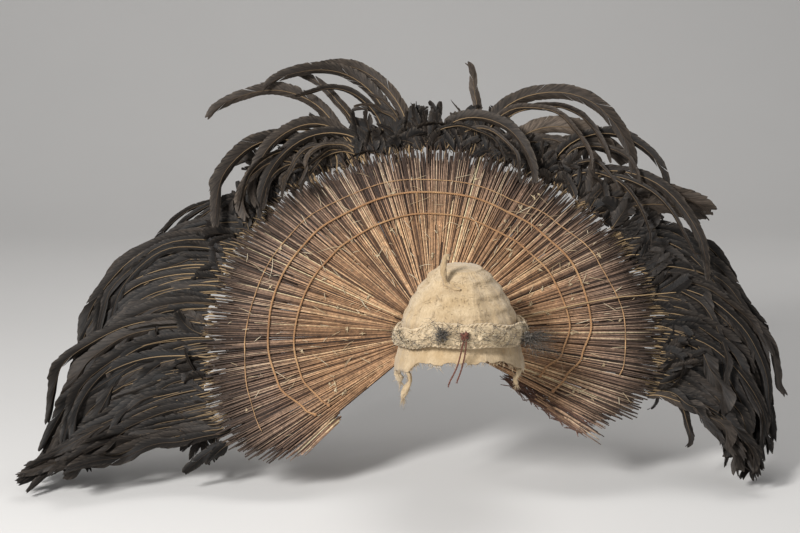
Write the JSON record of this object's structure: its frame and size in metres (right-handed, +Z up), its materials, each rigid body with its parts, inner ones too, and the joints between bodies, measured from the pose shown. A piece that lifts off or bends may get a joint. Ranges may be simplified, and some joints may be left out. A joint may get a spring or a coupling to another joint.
{
  "type": "feathered dance headdress",
  "caption": "Barkcloth cap with an upright crescent fan of thin sticks behind it, edged with long dark tail feathers.",
  "frame": {"origin": "middle of the cap's opening, at the height of the brow hem", "axes": "+Z up, the wearer faces -Y, +X towards the wearer's left hand, the fan's long way along X"},
  "size_m": [1.2643, 0.5048, 0.6522],
  "materials": {
    "barkcloth": "beaten bark felt, dry and creased",
    "rolled_cloth": "rough twisted barkcloth, soiled",
    "red_cord": "reddish-brown twisted cord",
    "dark_fibre": "dry dark hair and fibre",
    "sticks": "dry split leaf midribs",
    "matted_fibre": "matted dark brown fibre",
    "quill": "horn-like feather quill",
    "tan_cord": "twisted plant-fibre cord",
    "dark_feather": "dark grey-brown feather vane",
    "brown_feather": "worn brown feather vane"
  },
  "bodies": {
    "root": {"cap": "barkcloth", "brow_roll": "rolled_cloth", "crown_tie": "barkcloth", "brow_knot": "red_cord", "brow_cord_long": "red_cord", "brow_cord_short": "red_cord", "brow_tuft": "dark_fibre", "side_tuft": "dark_fibre", "left_hem_knot": "rolled_cloth", "left_hem_strip": "barkcloth", "right_hem_strip": "barkcloth", "fan_binding": "rolled_cloth", "stick_fan": "sticks", "left_under_layer": "sticks", "right_flap": "matted_fibre", "long_quill": "quill", "outer_cord": "tan_cord", "inner_cord": "tan_cord", "rim_thread": "tan_cord", "cord_link": "tan_cord", "left_wing_plumes": "dark_feather", "left_crown_plumes": "brown_feather", "right_crown_plumes": "brown_feather", "right_wing_plumes": "dark_feather"}
  },
  "joints": []
}
